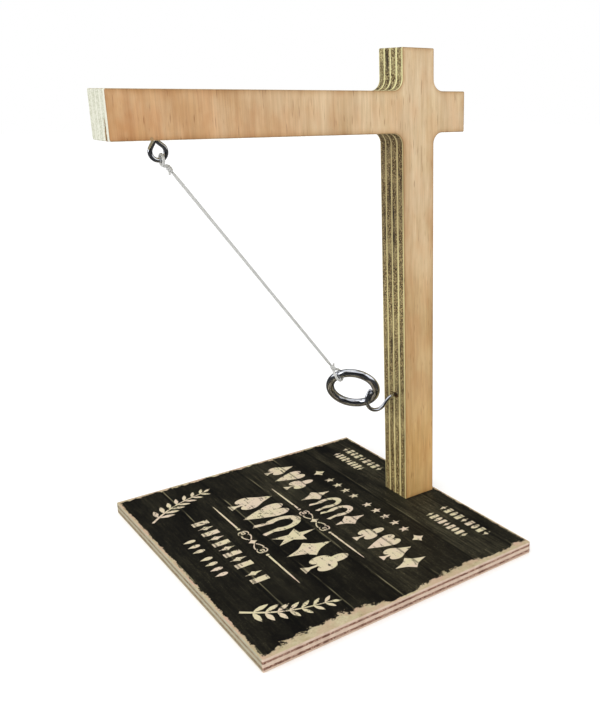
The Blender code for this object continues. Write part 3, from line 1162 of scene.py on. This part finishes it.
def base_screw(number):
    """A countersunk wood screw with a cross recess and a real thread, seen from below."""
    node = f"base_screw_{number}"
    lo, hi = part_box(node)
    x, y = (lo.x + hi.x) / 2, (lo.y + hi.y) / 2
    head = (hi.x - lo.x) / 2
    heights = [lo.z, lo.z + 0.0001, lo.z + 0.0004, lo.z + 0.0019]
    radii = [head - 0.0001, head, head, 0.0015]
    steps = 150
    for k in range(1, steps + 1):
        share = k / steps
        heights.append(lo.z + 0.0019 + (hi.z - lo.z - 0.0019) * share)
        radii.append(0.0015 * min(1, (1 - share) * 7 + 0.05))
    points = [Vector((x, y, z)) for z in heights]
    bm = bmesh.new()
    sweep(bm, points, radii, 32, shape=threads(points, 0.01, 0.0298, 0.0016, 0.34))
    obj = mesh_object(node + "_steel", bm, ZINC, smooth=True)
    cutters = []
    for k in (0, 1):
        cut = bmesh.new()
        bmesh.ops.create_cube(cut, size=1)
        for vert in cut.verts:
            slot = Vector((0.0008, 0.0008, 0.0034))
            slot[k] = 0.0042 * (0.35 if vert.co.z > 0 else 1)
            vert.co = Vector((x, y, lo.z)) + vert.co * slot
        cutters.append(mesh_object(f"recess_{number}_{k}", cut, ZINC))
    carve(obj, cutters)
    obj.data.set_sharp_from_angle(angle=radians(35))
    piece(obj, "frame", node)


# ---- line, loops and knots


def thread_piece(name, runs, node, body):
    """A piece of line made of round runs: (points, closed, share of the line's thickness)."""
    bm = bmesh.new()
    for points, closed, share in runs:
        radii = [LINE * share] * len(points)
        if not closed:
            radii[0] = radii[-1] = LINE * share * 0.7
        sweep(bm, points, radii, 16, closed=closed)
    return piece(mesh_object(name, bm, NYLON, smooth=True), body, node)


def loop_points(centre, axis, towards, reach, pull):
    """A closed loop round centre, drawn out towards the knot on one side."""
    towards = (towards - axis * towards.dot(axis)).normalized()
    across = axis.cross(towards)
    points = []
    for k in range(64):
        a = 2 * pi * k / 64
        drawn = 1 + pull * max(0, cos(a)) ** 3
        points.append(centre + (towards * cos(a) * drawn + across * sin(a)) * reach)
    return points


def knot(name, centre, along, tag_side, node):
    """Three wraps round the standing line, drawn up tight, with a short tag end."""
    side = (tag_side - along * tag_side.dot(along)).normalized()
    across = along.cross(side)
    wraps = []
    count = 3 * 28
    for k in range(count + 1):
        share = k / count
        a = 2 * pi * 3 * share
        belly = KNOT_RADIUS - 0.62 * MM - 0.3 * MM * (2 * share - 1) ** 2
        level = (share - 0.5) * (KNOT_LENGTH - 1.2 * MM)
        wraps.append(centre + along * level + (side * cos(a) + across * sin(a)) * belly)
    core = [centre + along * KNOT_LENGTH * (s / 8 - 0.5) for s in range(9)]
    tag_at = centre + side * (KNOT_RADIUS - 0.5 * MM)
    bends = ((0, 0.8), (0.4, 1.5), (0.8, 2), (1.2, 2.4))
    tag = [tag_at + side * out * MM - along * down * MM for out, down in bends]
    runs = [(wraps, False, 0.62), (even(core, 0.0004), False, 0.95), (even(tag, 0.0003), False, 0.66)]
    return thread_piece(name, runs, node, "line")


def neck(loop_foot, knot_end):
    """The short run from the eye's loop to its knot, curled round the eye's wire."""
    start = loop_foot - TOP_TIE
    end = knot_end - TOP_TIE
    points = []
    for k in range(25):
        t = k / 24
        reach = start.length + (end.length - start.length) * t
        points.append(TOP_TIE + start.normalized().slerp(end.normalized(), t) * reach)
    bm = bmesh.new()
    sweep(bm, points, [LINE * 0.98] * len(points), 16)
    obj = mesh_object("top_neck_line", bm, NYLON, smooth=True)
    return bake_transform(obj, "top_loop", "line", tuple(loop_foot), tuple(knot_end))


def line():
    round_eye = loop_points(TOP_TIE, X_AXIS, ALONG, TOP_LOOP, 0.1)
    top_loop = thread_piece("top_loop_line", [(round_eye, True, 0.94)], "line_top_loop", "top_loop")
    round_rim = loop_points(RING_TIE, RIM, -ALONG, RING_LOOP, 0.42)
    ring_loop = thread_piece("ring_loop_line", [(round_rim, True, 0.94)], "line_ring_loop", "line")
    half = KNOT_LENGTH / 2
    upper = TOP_TIE + ALONG * (TOP_LOOP + LINE + KNOT_ROOM + half)
    lower = RING_TIE - ALONG * (RING_LOOP + LINE + KNOT_ROOM + half)
    top_knot = knot("top_knot_line", upper, -ALONG, Vector((-0.6, -0.4, -1)), "line_top_knot")
    top_neck = neck(round_eye[0], upper - ALONG * (half - 0.6 * MM))
    ring_knot = knot("ring_knot_line", lower, ALONG, Vector((1, -0.3, 0.6)), "line_ring_knot")
    start = upper + ALONG * half
    end = lower - ALONG * half
    route = [start.lerp(end, k / 40) for k in range(41)]
    straight = thread_piece("straight_line", [(route, False, 1)], "line", "line")
    [tuple(p) for p in route]


# ---- room, light and camera


CAMERA_AT = (-0.24811, -0.44147, 0.28138)
CAMERA_YAW = 39
CAMERA_DOWN = 18
CAMERA_ROLL = 0.384
CAMERA_LENS = 42
CAMERA_SHIFT = (-0.1994, 0.0106)
AMBIENT = 0.8
FLOOR_GLOW = 0.16
DARK_SIDE = (-0.6, -0.74, 0.3)


def camera():
    data = bpy.data.cameras.new("camera")
    data.lens = CAMERA_LENS
    data.sensor_width = 36
    data.shift_x, data.shift_y = CAMERA_SHIFT
    data.clip_start = 0.01
    obj = link(bpy.data.objects.new("camera", data))
    turn = Matrix.Rotation(radians(-CAMERA_YAW), 4, "Z")
    tilt = Matrix.Rotation(radians(90 - CAMERA_DOWN), 4, "X")
    roll = Matrix.Rotation(radians(CAMERA_ROLL), 4, "Z")
    obj.matrix_world = Matrix.Translation(CAMERA_AT) @ turn @ tilt @ roll
    bpy.context.scene.camera = obj


def light(name, kind, at, aim, power, **values):
    data = bpy.data.lights.new(name, kind)
    data.energy = power
    for key, value in values.items():
        setattr(data, key, value)
    obj = link(bpy.data.objects.new(name, data))
    obj.location = at
    obj.rotation_euler = (Vector(aim) - Vector(at)).to_track_quat("-Z", "Y").to_euler()
    return obj


def room():
    """A pale floor, even light from all round, and a darker studio for the metal to reflect."""
    bm = bmesh.new()
    bmesh.ops.create_grid(bm, x_segments=8, y_segments=8, size=6)
    floor = mesh_object("floor", bm, pale_floor("floor_paper"))
    floor.location.z = -0.0002
    world = bpy.data.worlds.new("studio")
    world.use_nodes = True
    bpy.context.scene.world = world
    bpy.context.scene.view_settings.view_transform = "Standard"
    n = Nodes(world.node_tree)
    n.tree.nodes.clear()
    path = n.add("LightPath").outputs
    towards = n.add("TexCoord").outputs["Generated"]
    up = n.split(towards)[2]
    facing = n.add("VectorMath", operation="DOT_PRODUCT")
    n.put(facing.inputs[0], towards)
    facing.inputs[1].default_value = DARK_SIDE
    ahead = n.scaled(facing.outputs["Value"], 0.5, 0.5)
    side_cards = n.ramp(ahead, [(0.3, 0), (0.36, 1), (0.72, 1), (0.79, 0)])
    height = n.scaled(up, 0.5, 0.5)
    side_cards = n.times(side_cards, n.ramp(height, [(0.52, 0), (0.58, 1), (0.82, 1), (0.86, 0.1)]))
    overhead = n.ramp(height, [(0, 0.25), (0.42, 0.25), (0.46, 0), (0.86, 0), (0.9, 0.9), (1, 0.9)])
    mirrored = n.ramp(n.most(side_cards, overhead), [(0, 0.016), (1, 1.35)])
    colour = n.mix(path["Is Glossy Ray"], grey(AMBIENT), mirrored)
    colour = n.mix(path["Is Camera Ray"], colour, grey(1))
    background = n.add("Background")
    n.put(background.inputs["Color"], colour)
    n.put(n.add("OutputWorld").inputs[0], background.outputs[0])
    sun = light("key_light", "SUN", (-0.45, -0.7, 0.75), (0, 0, 0), 1, angle=radians(50))
    sun.visible_glossy = False
    left_card = ("left_card", "AREA", (-0.75, 0.1, 0.45), (0.03, 0, 0.1), 1.2)
    light(*left_card, shape="RECTANGLE", size=0.22, size_y=0.5)


camera()
line()
room()
gallows()
base_board()
artwork()
screw_hook()
screw_eye()
ring()
for screw_number in (1, 2):
    base_screw(screw_number)
